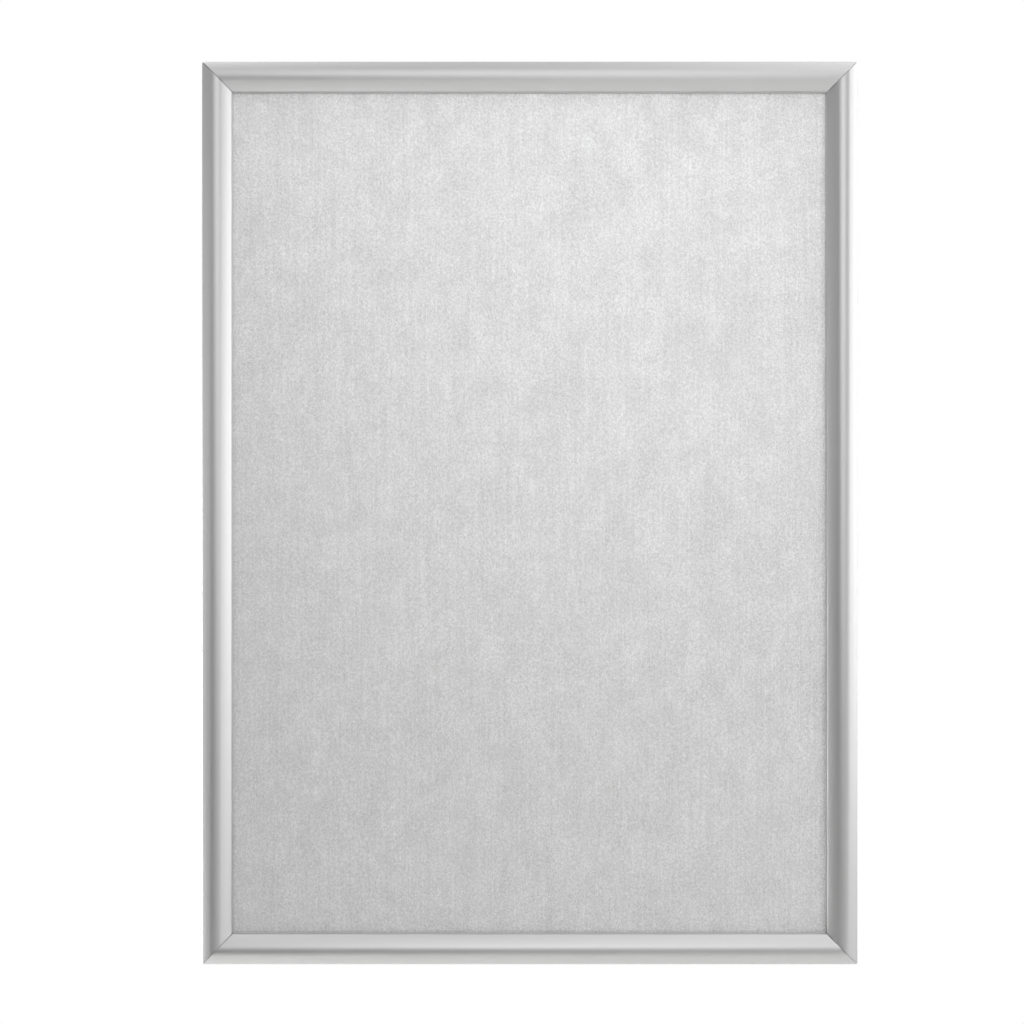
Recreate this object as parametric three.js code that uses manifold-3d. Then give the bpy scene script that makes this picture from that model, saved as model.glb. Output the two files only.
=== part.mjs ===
// A front-loading snap frame for a poster: four mitred aluminium base rails joined by corner keys,
// four snap covers that swing open on the outer edge, leaf springs that throw each cover over centre,
// a sheet-steel back panel and a clear front sheet.
//
// Millimetres. The origin is the middle of the frame on the wall plane. X runs across, Z runs up and
// the front faces -Y. Each rail is drawn once as a cross-section, in which "inward" runs from the
// outer edge of the frame towards the poster and "forward" runs from the wall to the viewer.

import * as THREE from 'three';
import { mergeVertices } from 'three/addons/utils/BufferGeometryUtils.js';
import Module from 'manifold-3d';

const wasm = await Module();
wasm.setup();

// Whole frame
const POSTER_WIDTH = 500;
const POSTER_HEIGHT = 700;
const POSTER_INSET = 15; // outer edge of the frame to the edge of the poster
const RAIL_FACE = 25; // width of a rail as seen from the front
const RAIL_DEPTH = 12; // wall to the crest of a cover
const GAP = 0.3; // clearance between pieces that touch or run on each other
const MITRE_GAP = 0.25; // each rail stops short of the true mitre by this, along its length
const OVERRUN = 1; // how far a cutter reaches past what it cuts
const CHORD_ERROR = 0.01; // how far a facet may stray from its true arc

// Snap cover
const SKIN = 1.3;
const CREST_RADIUS = 10; // the round crest, between two flanks that are all but flat
const CREST_INWARD = 10.25; // outer edge of the frame to the crest
const FLANK_RADIUS = 110;
const NOSE_RADIUS = 2; // the rounded inner edge
const NOSE_LIFT = 0.45; // the nose is rounded from this much in front of the lip's own round
const PIVOT_HEIGHT = 6.45; // wall to the axis that a cover turns on
const BEAD_RADIUS = 1.5; // the hinge bead of the base rail, which the claw of the cover hooks round
const CLAW_WALL = 1.2;
const CLAW_TIP = 130; // degrees round the pivot from straight inward, where the claw begins
const CLAW_FOOT = -62; // degrees, where the claw ends and its leg stands out
const LEG_WALL = 1.1;
const LEG_SLOT_OUT = 3.8; // pivot to the middle of the spring slot in the leg
const LEG_SLOT = 1;
const LEG_SLOT_DEPTH = 0.6;
const LEG_END_WALL = 0.4;

// Base rail
const BASE_SET_IN = 0.3; // the base stands back from the rolled edge of the cover
const WEB = 1.2;
const LEDGE_END = 22; // outer edge of the frame to the inner edge of the ledge
const NECK_WALL = 1;
const FOOT_HEIGHT = 3;
const RIB_WALL = 1;
const HOOK_WALL = 0.8;
const LIP_WALL = 0.6;
const HOOK_OVERHANG = 0.7;
const LOWER_LIP = 0.8;
const UPPER_LIP = 0.5;
const SPRING_SEAT = 1.2; // height of the seat between the two lips of the inner rib
const EDGE_RADIUS = 0.2; // softened edges of the extrusions

// Wall screw holes, in the channel of each base rail
const HOLE_RADIUS = 1.75;
const HOLE_FROM_CORNER = 75;

// Corner keys and their grub screws
const KEY_THICKNESS = 1.4;
const KEY_LEG = 50; // outer edge of the frame to the end of a leg
const KEY_CHAMFER = 1;
const SCREW_RADIUS = 1.5;
const SCREW_LENGTH = 2.6;
const SCREW_FROM_EDGE = 34;
const SOCKET_ACROSS_FLATS = 1.5;
const SOCKET_DEPTH = 1.2;

// Leaf springs
const SPRING_THICKNESS = 0.4;
const SPRING_WIDTH = 20;
const SPRING_BOW = 2.4; // at rest, long enough to stay seated when its cover is fully open
const SHORT_SPRINGS = 2;
const LONG_SPRINGS = 3;
const SHORT_SPRING_PITCH = 220;
const LONG_SPRING_PITCH = 190;

// Flat sheets
const PANEL_THICKNESS = 0.6;
const PANEL_CORNER = 1.5;
const SHEET_THICKNESS = 0.5;
const SHEET_CORNER = 3;
const SHEET_TRIM = 0.5; // the clear sheet is this much smaller than the panel, each way

const RADIANS = Math.PI / 180;
const UPRIGHT = 90; // degrees from straight inward to straight forward
const FULL_TURN = 360;
const CORNER_TURN = 30; // an outline that turns by more than this many degrees has a corner there
const SOFT_SHARE = 0.4; // a softened edge takes at most this share of the flat beside it
const SAME_POINT = 1e-4;

const FRAME_WIDTH = POSTER_WIDTH + 2 * POSTER_INSET;
const FRAME_HEIGHT = POSTER_HEIGHT + 2 * POSTER_INSET;

// Heights of what lies on the web, from the wall
const PANEL_BACK = WEB + GAP;
const SHEET_BACK = PANEL_BACK + PANEL_THICKNESS + GAP;
const COVER_LIP = SHEET_BACK + SHEET_THICKNESS + GAP;
const KEY_BACK = WEB + GAP;
const HOOK_UNDER = KEY_BACK + KEY_THICKNESS + GAP;
const HOOK_TOP = HOOK_UNDER + LIP_WALL;
const SEAT_TOP = HOOK_TOP + SPRING_SEAT;
const RIB_TOP = SEAT_TOP + LIP_WALL;

// Front of a cover: the claw's widest point is the outer edge of the frame, and the rolled edge, the
// outer flank, the crest, the inner flank and the nose are arcs that touch one another
const CLAW_BORE = BEAD_RADIUS + GAP;
const CLAW_OUTER = CLAW_BORE + CLAW_WALL;
const LIP_RADIUS = SKIN / 2;
const PIVOT = point(-CLAW_OUTER * Math.cos(CLAW_TIP * RADIANS), PIVOT_HEIGHT);
const CREST_CENTRE = point(CREST_INWARD, RAIL_DEPTH - CREST_RADIUS);
const LIP_CENTRE = point(RAIL_FACE - LIP_RADIUS, COVER_LIP + LIP_RADIUS);
const NOSE_CENTRE = point(RAIL_FACE - NOSE_RADIUS, LIP_CENTRE.y + NOSE_LIFT);
const OUTER_FLANK_CENTRE = flankCentre(PIVOT, CLAW_OUTER);
const INNER_FLANK_CENTRE = flankCentre(NOSE_CENTRE, NOSE_RADIUS);
const LEG_REACH = LEG_SLOT_OUT + LEG_SLOT / 2 + LEG_END_WALL;
const LEG_SWEEP = Math.hypot(LEG_REACH, LEG_WALL);

// Ribs of the base, from the outer edge inward
const HOOK_OUTER = PIVOT.x + LEG_SWEEP + GAP;
const HOOK_INNER = HOOK_OUTER + HOOK_WALL;
const RIB_INNER = POSTER_INSET - GAP;
const RIB_OUTER = RIB_INNER - RIB_WALL;
const KEY_OUTER = HOOK_INNER + GAP;
const KEY_INNER = RIB_OUTER - GAP;
const CHANNEL_MIDDLE = (HOOK_INNER + RIB_OUTER) / 2;
const HEAD_RADIUS = (RIB_OUTER - HOOK_INNER) / 2;

// Ends of a spring at rest, each a clearance away from its seat
const SPRING_CLEAR = GAP + SPRING_THICKNESS / 2;
const SPRING_AT_RIB = new THREE.Vector2(RIB_OUTER - SPRING_CLEAR, HOOK_TOP + SPRING_CLEAR);
const SPRING_AT_LEG = legPoint(LEG_SLOT_OUT, LEG_WALL - LEG_SLOT_DEPTH + GAP);

const ANODISED = { color: 0xc9cbcc, metalness: 0.9, roughness: 0.36 };
const MILL_FINISH = { color: 0xb4b7b9, metalness: 0.9, roughness: 0.45 };
const GALVANISED = { color: 0xc2c5c6, metalness: 0.7, roughness: 0.5 };
const ZINC_PLATED = { color: 0xa9adb2, metalness: 0.9, roughness: 0.4 };
const BLACK_STEEL = { color: 0x2b2c2e, metalness: 0.6, roughness: 0.45 };
const SPRING_STEEL = { color: 0x8d9094, metalness: 0.95, roughness: 0.3 };
const CLEAR_PLASTIC = { color: 0xeef1f2, metalness: 0, roughness: 0.3, transparent: true, opacity: 0.25 };

// The point at a distance and an angle in degrees from a centre.
function polar(centre, radius, degrees) {
  const angle = degrees * RADIANS;
  return new THREE.Vector2(centre.x + radius * Math.cos(angle), centre.y + radius * Math.sin(angle));
}

// Points along an arc, close enough together for CHORD_ERROR.
function arc(centre, radius, from, to) {
  const step = 2 * Math.acos(1 - Math.min(CHORD_ERROR / radius, 1)) / RADIANS;
  const steps = Math.max(2, Math.ceil(Math.abs(to - from) / step));
  return Array.from({ length: steps + 1 }, (_, i) => polar(centre, radius, from + (to - from) * i / steps));
}

// A point of the cover's leg: "out" along the leg from the pivot, "across" towards the poster.
function legPoint(out, across) {
  return polar(polar(PIVOT, out, CLAW_FOOT), across, CLAW_FOOT + UPRIGHT);
}

function point(inward, forward) {
  return new THREE.Vector2(inward, forward);
}

// The angle in degrees, from straight inward, at which a point lies round a centre.
function bearing(centre, at) {
  return Math.atan2(at.y - centre.y, at.x - centre.x) / RADIANS;
}

// The centre of the flank that touches the crest and another round from outside, behind them both. It
// is a known distance from the two centres, so the three form a triangle.
function flankCentre(other, otherRadius) {
  const toCrest = FLANK_RADIUS - CREST_RADIUS;
  const toOther = FLANK_RADIUS - otherRadius;
  const span = CREST_CENTRE.distanceTo(other);
  const cosine = (toCrest ** 2 + span ** 2 - toOther ** 2) / (2 * toCrest * span);
  const side = other.x > CREST_CENTRE.x ? -1 : 1;
  const turn = bearing(CREST_CENTRE, other) + side * Math.acos(cosine) / RADIANS;
  return polar(CREST_CENTRE, toCrest, turn);
}

// Joins runs of points into one outline without repeated points.
function outlineOf(...runs) {
  const points = runs.flat();
  return points.filter((p, i) => p.distanceTo(points[(i + 1) % points.length]) > SAME_POINT);
}

// Rounds each sharp corner of an outline by a quadratic curve through the corner.
function soften(points, radius) {
  return points.flatMap((corner, i) => {
    const before = points[(i + points.length - 1) % points.length];
    const after = points[(i + 1) % points.length];
    const intoCorner = corner.clone().sub(before);
    const outOfCorner = after.clone().sub(corner);
    const turn = Math.abs(intoCorner.angleTo(outOfCorner)) / RADIANS;
    if (turn < CORNER_TURN) return [corner];
    const back = Math.min(radius, SOFT_SHARE * intoCorner.length());
    const on = Math.min(radius, SOFT_SHARE * outOfCorner.length());
    const start = corner.clone().addScaledVector(intoCorner.normalize(), -back);
    const end = corner.clone().addScaledVector(outOfCorner.normalize(), on);
    return new THREE.QuadraticBezierCurve(start, corner, end).getPoints(2);
  });
}

// A flat outline given a thickness, from its own plane forward.
function plate(shape, thickness) {
  return new THREE.ExtrudeGeometry(shape, { depth: thickness, bevelEnabled: false });
}

// A cross-section run along a rail and cut at both ends to the mitre, where inward is x. The
// extrusion is one unit long, and each end moves out to its place on the mitre plane.
function mitredRail(outline, length) {
  const geometry = plate(new THREE.Shape(outline), 1);
  const position = geometry.attributes.position;
  for (let i = 0; i < position.count; i += 1) {
    const reach = length / 2 - position.getX(i) - MITRE_GAP;
    position.setZ(i, position.getZ(i) > 0 ? reach : -reach);
  }
  return geometry;
}

// A cross-section run along a rail for a length and centred at a place along it.
function stretch(outline, length, middle) {
  return plate(new THREE.Shape(outline), length).translate(0, 0, middle - length / 2);
}

// A closed mesh as a solid that can be cut.
function solidOf(geometry) {
  const bare = geometry.clone();
  bare.deleteAttribute('normal');
  bare.deleteAttribute('uv');
  const merged = mergeVertices(bare);
  return new wasm.Manifold(new wasm.Mesh({
    numProp: 3,
    vertProperties: new Float32Array(merged.attributes.position.array),
    triVerts: new Uint32Array(merged.index.array),
  }));
}

// A geometry with cutters taken away from it.
function cut(geometry, cutters) {
  const solid = cutters.reduce((left, cutter) => left.subtract(solidOf(cutter)), solidOf(geometry));
  const { vertProperties, triVerts } = solid.getMesh();
  const result = new THREE.BufferGeometry();
  result.setAttribute('position', new THREE.BufferAttribute(vertProperties, 3));
  result.setIndex(new THREE.BufferAttribute(triVerts, 1));
  return result;
}

// Section of a snap cover. From the tip of the claw it follows the rolled outer edge, the two flanks
// with the crest between them and the nose to the lip that presses on the clear sheet, comes back
// under the skin, goes round the outside of the claw to the slotted leg, and returns through the bore.
function coverOutline() {
  const inner = FLANK_RADIUS - SKIN;
  const reach = FLANK_RADIUS - CLAW_OUTER;
  const nearCosine = (reach ** 2 + inner ** 2 - CLAW_OUTER ** 2) / (2 * reach * inner);
  const farCosine = (inner ** 2 - reach ** 2 - CLAW_OUTER ** 2) / (2 * reach * CLAW_OUTER);
  const shoulder = bearing(OUTER_FLANK_CENTRE, PIVOT);
  const crestOut = bearing(OUTER_FLANK_CENTRE, CREST_CENTRE);
  const crestIn = bearing(INNER_FLANK_CENTRE, CREST_CENTRE);
  const noseTurn = bearing(INNER_FLANK_CENTRE, NOSE_CENTRE);
  const skinEnd = shoulder - Math.acos(nearCosine) / RADIANS;
  const clawStart = shoulder - Math.acos(farCosine) / RADIANS;
  const legRoot = CLAW_FOOT + Math.asin(LEG_WALL / CLAW_OUTER) / RADIANS;
  const slotFloor = LEG_WALL - LEG_SLOT_DEPTH;
  const leg = [
    legPoint(LEG_SLOT_OUT - LEG_SLOT / 2, LEG_WALL),
    legPoint(LEG_SLOT_OUT - LEG_SLOT / 2, slotFloor),
    legPoint(LEG_SLOT_OUT + LEG_SLOT / 2, slotFloor),
    legPoint(LEG_SLOT_OUT + LEG_SLOT / 2, LEG_WALL),
    legPoint(LEG_REACH, LEG_WALL),
    legPoint(LEG_REACH, 0),
  ];
  return soften(outlineOf(
    arc(PIVOT, CLAW_OUTER, CLAW_TIP, shoulder),
    arc(OUTER_FLANK_CENTRE, FLANK_RADIUS, shoulder, crestOut),
    arc(CREST_CENTRE, CREST_RADIUS, crestOut, crestIn),
    arc(INNER_FLANK_CENTRE, FLANK_RADIUS, crestIn, noseTurn),
    arc(NOSE_CENTRE, NOSE_RADIUS, noseTurn, 0),
    arc(LIP_CENTRE, LIP_RADIUS, 0, -2 * UPRIGHT),
    arc(NOSE_CENTRE, NOSE_RADIUS - SKIN, 0, noseTurn),
    arc(INNER_FLANK_CENTRE, inner, noseTurn, crestIn),
    arc(CREST_CENTRE, CREST_RADIUS - SKIN, crestIn, crestOut),
    arc(OUTER_FLANK_CENTRE, inner, crestOut, skinEnd),
    arc(PIVOT, CLAW_OUTER, clawStart, legRoot),
    leg,
    arc(PIVOT, CLAW_BORE, CLAW_FOOT, CLAW_TIP),
  ), EDGE_RADIUS);
}

// Section of a base rail: the web on the wall, the foot and neck that carry the hinge bead, the hook
// and the inner rib that hold the corner key between them, and the ledge under the back panel. The
// two lips of the inner rib are the seat of the springs.
function baseOutline() {
  const neck = Math.asin(NECK_WALL / 2 / BEAD_RADIUS) / RADIANS;
  const wall = [
    point(BASE_SET_IN, 0),
    point(LEDGE_END, 0),
    point(LEDGE_END, WEB),
    point(RIB_INNER, WEB),
    point(RIB_INNER, RIB_TOP),
    point(RIB_OUTER - UPPER_LIP, RIB_TOP),
    point(RIB_OUTER - UPPER_LIP, SEAT_TOP),
    point(RIB_OUTER, SEAT_TOP),
    point(RIB_OUTER, HOOK_TOP),
    point(RIB_OUTER - LOWER_LIP, HOOK_TOP),
    point(RIB_OUTER - LOWER_LIP, HOOK_UNDER),
    point(RIB_OUTER, HOOK_UNDER),
    point(RIB_OUTER, WEB),
    point(HOOK_INNER, WEB),
    point(HOOK_INNER, HOOK_UNDER),
    point(HOOK_INNER + HOOK_OVERHANG, HOOK_UNDER),
    point(HOOK_INNER + HOOK_OVERHANG, HOOK_TOP),
    point(HOOK_OUTER, HOOK_TOP),
    point(HOOK_OUTER, WEB),
    point(PIVOT.x + NECK_WALL / 2, WEB),
  ];
  const bead = arc(PIVOT, BEAD_RADIUS, neck - UPRIGHT, FULL_TURN - UPRIGHT - neck);
  const foot = [
    point(PIVOT.x - NECK_WALL / 2, FOOT_HEIGHT),
    point(BASE_SET_IN, FOOT_HEIGHT),
  ];
  return soften(outlineOf(wall, bead, foot), EDGE_RADIUS);
}

// A wall screw hole with room for the screw's head between the ribs.
function wallHole(along) {
  const drill = [
    point(0, -OVERRUN),
    point(HOLE_RADIUS, -OVERRUN),
    point(HOLE_RADIUS, WEB),
    point(HEAD_RADIUS, WEB),
    point(HEAD_RADIUS, HOOK_TOP + OVERRUN),
    point(0, HOOK_TOP + OVERRUN),
  ];
  return new THREE.LatheGeometry(drill, 24).translate(CHANNEL_MIDDLE, 0, along);
}

function baseRail(length) {
  const fromMiddle = length / 2 - HOLE_FROM_CORNER;
  return cut(mitredRail(baseOutline(), length), [wallHole(-fromMiddle), wallHole(fromMiddle)]);
}

// The lower half of the claw and its leg swing inward as the cover opens, so they are milled away
// where they would reach past the mitre.
function snapCover(length) {
  const reach = PIVOT.x + LEG_SWEEP;
  const relief = outlineOf([
    point(PIVOT.x, -OVERRUN),
    point(reach + OVERRUN, -OVERRUN),
    point(reach + OVERRUN, PIVOT.y),
    point(PIVOT.x, PIVOT.y),
  ]);
  const run = reach + GAP + OVERRUN;
  const middle = length / 2 + OVERRUN - run / 2;
  return cut(mitredRail(coverOutline(), length), [
    stretch(relief, run, middle),
    stretch(relief, run, -middle),
  ]);
}

// A bowed strip between the seat on the inner rib and the slot in the leg of the cover.
function leafSpring(along) {
  const chord = SPRING_AT_RIB.clone().sub(SPRING_AT_LEG);
  const half = chord.length() / 2;
  const radius = (half ** 2 + SPRING_BOW ** 2) / (2 * SPRING_BOW);
  const middle = SPRING_AT_LEG.clone().add(SPRING_AT_RIB).multiplyScalar(0.5);
  const facing = chord.angle() / RADIANS + UPRIGHT;
  const centre = polar(middle, SPRING_BOW - radius, facing);
  const spread = Math.asin(half / radius) / RADIANS;
  return stretch(outlineOf(
    arc(centre, radius + SPRING_THICKNESS / 2, facing + spread, facing - spread),
    arc(centre, radius - SPRING_THICKNESS / 2, facing - spread, facing + spread),
  ), SPRING_WIDTH, along);
}

// An L-shaped plate that fills the channels of two base rails, drilled for a screw in each leg.
function cornerKey() {
  const shape = new THREE.Shape([
    point(KEY_OUTER + KEY_CHAMFER, KEY_OUTER),
    point(KEY_LEG - KEY_CHAMFER, KEY_OUTER),
    point(KEY_LEG, KEY_OUTER + KEY_CHAMFER),
    point(KEY_LEG, KEY_INNER - KEY_CHAMFER),
    point(KEY_LEG - KEY_CHAMFER, KEY_INNER),
    point(KEY_INNER, KEY_INNER),
    point(KEY_INNER, KEY_LEG - KEY_CHAMFER),
    point(KEY_INNER - KEY_CHAMFER, KEY_LEG),
    point(KEY_OUTER + KEY_CHAMFER, KEY_LEG),
    point(KEY_OUTER, KEY_LEG - KEY_CHAMFER),
    point(KEY_OUTER, KEY_OUTER + KEY_CHAMFER),
  ]);
  shape.holes = keyScrewPlaces().map((place) => new THREE.Path(
    outlineOf(arc(place, SCREW_RADIUS + GAP, 0, FULL_TURN)),
  ));
  return plate(shape, KEY_THICKNESS).translate(0, 0, KEY_BACK);
}

function keyScrewPlaces() {
  const across = (KEY_OUTER + KEY_INNER) / 2;
  return [point(SCREW_FROM_EDGE, across), point(across, SCREW_FROM_EDGE)];
}

// A grub screw with a hexagon socket, which stands on the web and pushes the key up under the hooks.
function grubScrew() {
  const body = new THREE.CylinderGeometry(SCREW_RADIUS, SCREW_RADIUS, SCREW_LENGTH, 24);
  const socketRadius = SOCKET_ACROSS_FLATS / 2 / Math.cos(RADIANS * FULL_TURN / 12);
  const socket = new THREE.CylinderGeometry(socketRadius, socketRadius, SOCKET_DEPTH + OVERRUN, 6);
  socket.translate(0, SCREW_LENGTH / 2 + OVERRUN / 2 - SOCKET_DEPTH / 2, 0);
  return cut(body, [socket])
    .rotateX(Math.PI / 2)
    .translate(0, 0, KEY_BACK + SCREW_LENGTH / 2);
}

// A flat sheet with rounded corners, centred on the frame.
function flatSheet(width, height, radius, back, thickness) {
  const right = width / 2 - radius;
  const top = height / 2 - radius;
  const outline = outlineOf(
    arc(point(right, top), radius, 0, UPRIGHT),
    arc(point(-right, top), radius, UPRIGHT, 2 * UPRIGHT),
    arc(point(-right, -top), radius, 2 * UPRIGHT, 3 * UPRIGHT),
    arc(point(right, -top), radius, 3 * UPRIGHT, FULL_TURN),
  );
  return plate(new THREE.Shape(outline), thickness).translate(0, 0, back);
}

function piece(name, geometry, finish) {
  const mesh = new THREE.Mesh(geometry, new THREE.MeshStandardMaterial({ flatShading: true, ...finish }));
  mesh.name = name;
  return mesh;
}

// A group whose first two axes point along two world directions; the third follows from them.
function placedGroup(origin, first, second) {
  const group = new THREE.Group();
  const third = new THREE.Vector3().crossVectors(first, second);
  const matrix = new THREE.Matrix4().makeBasis(first, second, third);
  group.setRotationFromMatrix(matrix);
  group.position.copy(origin);
  return group;
}

// Places of a number of like pieces, evenly spaced about the middle of a rail.
function evenly(count, pitch) {
  return Array.from({ length: count }, (_, i) => (i - (count - 1) / 2) * pitch);
}

const LEFT = new THREE.Vector3(-1, 0, 0);
const RIGHT = new THREE.Vector3(1, 0, 0);
const UP = new THREE.Vector3(0, 0, 1);
const DOWN = new THREE.Vector3(0, 0, -1);
const FORWARD = new THREE.Vector3(0, -1, 0);

const sides = [
  { side: 'top', inward: DOWN, across: FRAME_HEIGHT, length: FRAME_WIDTH },
  { side: 'bottom', inward: UP, across: FRAME_HEIGHT, length: FRAME_WIDTH },
  { side: 'left', inward: RIGHT, across: FRAME_WIDTH, length: FRAME_HEIGHT },
  { side: 'right', inward: LEFT, across: FRAME_WIDTH, length: FRAME_HEIGHT },
];

// The directions of each corner's two rails, in the order that makes the key face forward.
const corners = [
  { corner: 'top_left', first: DOWN, second: RIGHT },
  { corner: 'top_right', first: LEFT, second: DOWN },
  { corner: 'bottom_right', first: UP, second: LEFT },
  { corner: 'bottom_left', first: RIGHT, second: UP },
];

const frame = new THREE.Group();
frame.name = 'poster_frame';

for (const { side, inward, across, length } of sides) {
  const rail = placedGroup(inward.clone().multiplyScalar(-across / 2), inward, FORWARD);
  const isLong = length === FRAME_HEIGHT;
  const springs = isLong ? evenly(LONG_SPRINGS, LONG_SPRING_PITCH) : evenly(SHORT_SPRINGS, SHORT_SPRING_PITCH);
  rail.add(piece(`base_rail_${side}`, baseRail(length), MILL_FINISH));
  rail.add(piece(`snap_cover_${side}`, snapCover(length), ANODISED));
  springs.forEach((along, i) => {
    rail.add(piece(`leaf_spring_${side}_${i + 1}`, leafSpring(along), SPRING_STEEL));
  });
  frame.add(rail);
}

for (const { corner, first, second } of corners) {
  const origin = new THREE.Vector3(
    -(first.x + second.x) * FRAME_WIDTH / 2,
    0,
    -(first.z + second.z) * FRAME_HEIGHT / 2,
  );
  const joint = placedGroup(origin, first, second);
  joint.add(piece(`corner_key_${corner}`, cornerKey(), ZINC_PLATED));
  keyScrewPlaces().forEach((place, i) => {
    const screw = piece(`key_screw_${corner}_${i + 1}`, grubScrew(), BLACK_STEEL);
    screw.position.set(place.x, place.y, 0);
    joint.add(screw);
  });
  frame.add(joint);
}

const sheets = placedGroup(new THREE.Vector3(), RIGHT, UP);
sheets.add(piece(
  'back_panel',
  flatSheet(POSTER_WIDTH, POSTER_HEIGHT, PANEL_CORNER, PANEL_BACK, PANEL_THICKNESS),
  GALVANISED,
));
sheets.add(piece(
  'clear_sheet',
  flatSheet(POSTER_WIDTH - SHEET_TRIM, POSTER_HEIGHT - SHEET_TRIM, SHEET_CORNER, SHEET_BACK, SHEET_THICKNESS),
  CLEAR_PLASTIC,
));
frame.add(sheets);

export default frame;
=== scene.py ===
"""A front-loading snap frame for a 500 by 700 mm poster, finished for its picture.

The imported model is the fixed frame: it says where each rail, spring, key and sheet lies and how the
four covers swing. This script stands finished surfaces in the places of the plain solids, gives each
surface the finish of the real product and sets up a plain white studio round it.

The classes hold their sizes in millimetres and degrees, and the meshes are in metres. A rail has
axes of its own: "inward" from the outer edge of the frame to the poster, "forward" from the wall to
the viewer, and "along" the rail from its middle.
"""

from __future__ import annotations

import logging
import math
from collections.abc import Sequence
from dataclasses import dataclass
from enum import Enum

import bpy
import numpy as np
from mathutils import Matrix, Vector


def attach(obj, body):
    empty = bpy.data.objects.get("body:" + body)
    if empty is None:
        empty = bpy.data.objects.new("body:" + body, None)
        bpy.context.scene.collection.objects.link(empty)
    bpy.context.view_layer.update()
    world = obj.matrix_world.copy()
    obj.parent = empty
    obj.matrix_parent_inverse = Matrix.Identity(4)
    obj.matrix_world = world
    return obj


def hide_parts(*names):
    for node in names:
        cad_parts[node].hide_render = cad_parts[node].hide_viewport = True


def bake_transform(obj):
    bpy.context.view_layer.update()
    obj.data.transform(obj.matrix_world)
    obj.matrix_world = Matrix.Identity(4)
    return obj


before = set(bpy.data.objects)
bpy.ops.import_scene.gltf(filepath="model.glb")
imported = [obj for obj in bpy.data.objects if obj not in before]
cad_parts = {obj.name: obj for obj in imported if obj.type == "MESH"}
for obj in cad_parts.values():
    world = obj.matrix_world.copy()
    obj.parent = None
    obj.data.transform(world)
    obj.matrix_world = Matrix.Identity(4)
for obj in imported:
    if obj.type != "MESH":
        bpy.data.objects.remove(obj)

log = logging.getLogger("poster_frame")

MILLIMETRE = 0.001
UPRIGHT = 90.0  # degrees from straight inward to straight forward
FULL_TURN = 360.0
CHORD_ERROR = 0.004  # how far a facet may stray from its true arc
ARC_POINTS = 3  # the fewest points of an arc
CORNER_TURN = 30.0  # an outline that turns by more than this many degrees has a corner there
SOFT_SHARE = 0.4  # a softened edge takes at most this share of the flat beside it
SOFT_STEPS = 5
EDGE_STEPS = 3  # facets across the round of an end
SAME_POINT = 1e-4
OVERRUN = 1.0  # how far a cutter reaches past what it cuts
NOISE_SPAN = (0.3, 0.7)  # most values of a noise lie between these
FULL_SPAN = (0.0, 1.0)
UV_NAME = "UVMap"

Array = np.ndarray


def polar(centre: Array, radius: float | Array, degrees: float | Array) -> Array:
    """Gives points round a centre: the centre plus the radius times the angle's cosine and sine."""
    angle = np.radians(degrees)
    return np.stack([centre[0] + radius * np.cos(angle), centre[1] + radius * np.sin(angle)], axis=-1)


def bearing(centre: Array, point: Array) -> float:
    """Gives the angle in degrees at which a point lies round a centre."""
    return math.degrees(math.atan2(point[1] - centre[1], point[0] - centre[0]))


def full_circle(sides: int) -> Array:
    """Gives the angles of evenly spaced points round a circle, in degrees."""
    return np.arange(sides) * FULL_TURN / sides


def arc(centre: Array, radius: float, start: float, end: float) -> Array:
    """Gives evenly spaced points of an arc, close enough together for CHORD_ERROR.

    Formula: a facet that strays from the arc by e spans twice the angle whose cosine is one minus e
    over the radius.

    Args:
        centre: The two coordinates of the centre.
        radius: Radius of the arc.
        start: Angle of its first point, in degrees.
        end: Angle of its last point, in degrees.

    Returns:
        The points, one row each.
    """
    step = math.degrees(2 * math.acos(1 - CHORD_ERROR / radius))
    count = max(ARC_POINTS, math.ceil(abs(end - start) / step) + 1)
    return polar(centre, radius, np.linspace(start, end, count))


def join_runs(*runs: Array) -> Array:
    """Joins runs of points into one closed outline and drops points that repeat their neighbour."""
    points = np.concatenate([np.atleast_2d(run) for run in runs])
    return points[np.linalg.norm(points - np.roll(points, -1, axis=0), axis=1) > SAME_POINT]


def soften(points: Array, radius: float) -> Array:
    """Rounds each corner of a closed outline.

    Formula: a quadratic curve that leaves the side before the corner and joins the side after it, a
    radius away from the corner or a share of a shorter side, with the corner as its control point.

    Args:
        points: The outline, one row a point.
        radius: How far from the corner the rounding starts.

    Returns:
        The outline with its corners rounded.
    """
    into = points - np.roll(points, 1, axis=0)
    onward = np.roll(points, -1, axis=0) - points
    into_length = np.linalg.norm(into, axis=1)
    onward_length = np.linalg.norm(onward, axis=1)
    cosine = np.sum(into * onward, axis=1) / (into_length * onward_length)
    is_corner = np.degrees(np.arccos(np.clip(cosine, -1, 1))) > CORNER_TURN
    back = np.where(is_corner, np.minimum(radius, SOFT_SHARE * into_length), 0)
    ahead = np.where(is_corner, np.minimum(radius, SOFT_SHARE * onward_length), 0)
    start = (points - into * (back / into_length)[:, None])[:, None]
    end = (points + onward * (ahead / onward_length)[:, None])[:, None]
    t = np.linspace(0, 1, SOFT_STEPS)[None, :, None]
    curve = (1 - t) ** 2 * start + 2 * t * (1 - t) * points[:, None] + t**2 * end
    return join_runs(curve.reshape(-1, 2))


def anticlockwise(points: Array) -> Array:
    """Turns a closed outline to run anticlockwise, by the sign of its enclosed area.

    Formula: twice the area is the sum of each point's cross product with the next.

    Args:
        points: The outline, one row a point.

    Returns:
        The same points, in that order.
    """
    after = np.roll(points, -1, axis=0)
    area = np.sum(points[:, 0] * after[:, 1] - after[:, 0] * points[:, 1])
    return points if area > 0 else points[::-1]


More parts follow.
